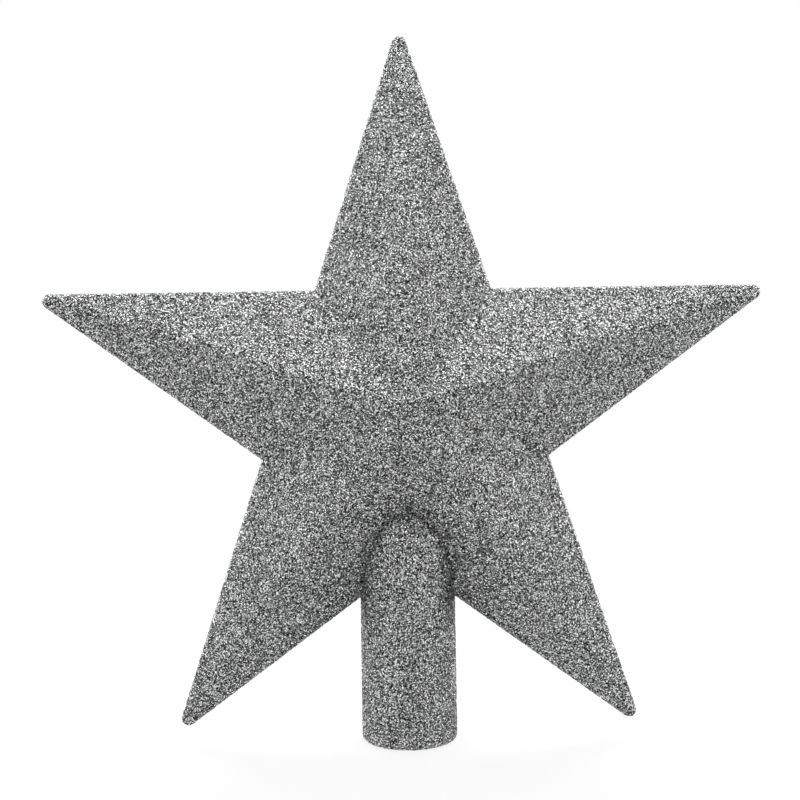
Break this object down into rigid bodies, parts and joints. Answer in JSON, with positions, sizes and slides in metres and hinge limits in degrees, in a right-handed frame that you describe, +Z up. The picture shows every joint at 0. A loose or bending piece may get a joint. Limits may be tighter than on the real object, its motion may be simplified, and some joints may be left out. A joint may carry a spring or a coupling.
{
  "type": "christmas tree topper star",
  "caption": "Hollow ridged star with a round open neck, coated in silver glitter, that pushes onto the top shoot of a christmas tree.",
  "frame": {"origin": "centre of the neck's mouth, where the star is pushed onto the tree", "axes": "+Z up the neck's axis to the top arm, +X to the right seen from the front, front to -Y"},
  "size_m": [0.1894, 0.044, 0.185],
  "materials": {
    "shell_plastic": "silver-grey moulded plastic, satin",
    "cement": "set clear cement, slightly yellow",
    "silver_glitter": "fine silver glitter flakes in clear lacquer"
  },
  "bodies": {
    "root": {"front_shell": "shell_plastic", "rear_shell": "shell_plastic", "seam_cement": "cement", "glitter_coat": "silver_glitter"}
  },
  "joints": []
}
